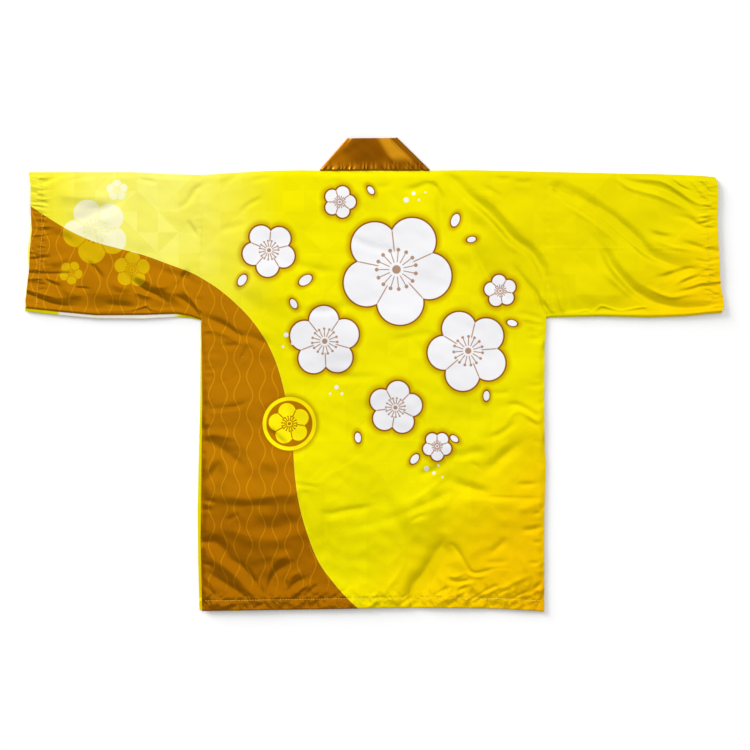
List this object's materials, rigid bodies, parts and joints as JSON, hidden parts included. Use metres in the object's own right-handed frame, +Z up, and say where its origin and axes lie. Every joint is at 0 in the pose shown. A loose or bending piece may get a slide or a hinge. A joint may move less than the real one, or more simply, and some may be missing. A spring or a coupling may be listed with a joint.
{
  "type": "happi coat",
  "caption": "Straight-cut festival coat of thin satin, laid flat with its back up: wide open sleeves, a long doubled collar band and turned hems.",
  "frame": {"origin": "on the floor, in the middle of the flat coat's outline", "axes": "+X towards the wearer's right cuff, +Y from the hem to the collar, +Z up from the floor, out of the back"},
  "size_m": [1.305, 0.8866, 0.0133],
  "materials": {
    "satin_back": "satin",
    "satin_front": "satin",
    "satin_sleeve": "satin",
    "satin_collar": "satin"
  },
  "bodies": {
    "root": {"back": "satin_back", "front_left": "satin_front", "front_right": "satin_front", "sleeve_left": "satin_sleeve", "sleeve_right": "satin_sleeve", "collar": "satin_collar"}
  },
  "joints": []
}
